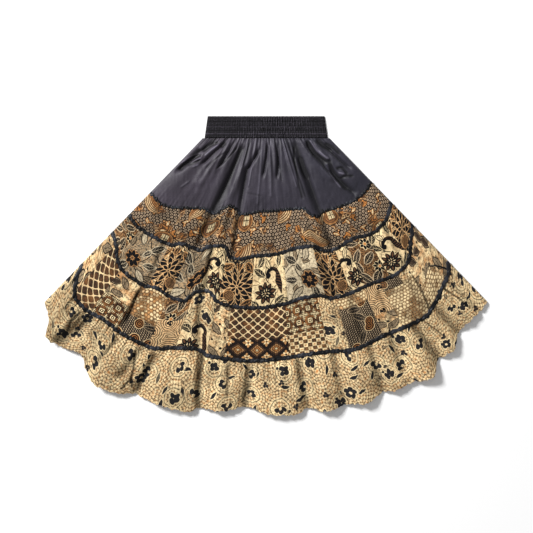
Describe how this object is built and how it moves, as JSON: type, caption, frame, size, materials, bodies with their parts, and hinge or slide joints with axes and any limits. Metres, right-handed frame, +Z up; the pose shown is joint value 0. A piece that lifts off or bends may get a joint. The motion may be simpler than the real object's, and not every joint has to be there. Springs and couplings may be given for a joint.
{
  "type": "tiered skirt",
  "caption": "Long tiered skirt laid flat: wide shirred elastic waistband, plain black yoke and gathered batik-print tiers parted by narrow satin trims.",
  "frame": {"origin": "middle of the underside of the skirt's box, on the surface that it lies on", "axes": "+Z up from the surface, +Y towards the waistband, +X to the right as the front is seen from above"},
  "size_m": [1.1508, 0.7762, 0.0204],
  "materials": {
    "black_elastic": "matte shirred elastic",
    "black_cotton": "plain cotton with a slight sheen",
    "dark_batik": "printed cotton, dark brown with beige rings",
    "floral_batik": "printed cotton patches, cream and dark brown leaves",
    "patch_batik": "printed cotton patches, lattices, dots and spirals",
    "cream_batik": "printed cotton, cream with fine brown dots",
    "black_satin": "satin tape"
  },
  "bodies": {
    "root": {"waistband_front": "black_elastic", "waistband_back": "black_elastic", "yoke_front": "black_cotton", "yoke_back": "black_cotton", "tier_1_front": "dark_batik", "tier_1_back": "dark_batik", "tier_2_front": "floral_batik", "tier_2_back": "floral_batik", "tier_3_front": "patch_batik", "tier_3_back": "patch_batik", "ruffle_front": "cream_batik", "ruffle_back": "cream_batik", "trim_1_front": "black_satin", "trim_1_back": "black_satin", "trim_2_front": "black_satin", "trim_2_back": "black_satin", "trim_3_front": "black_satin", "trim_3_back": "black_satin", "trim_4_front": "black_satin", "trim_4_back": "black_satin"}
  },
  "joints": []
}
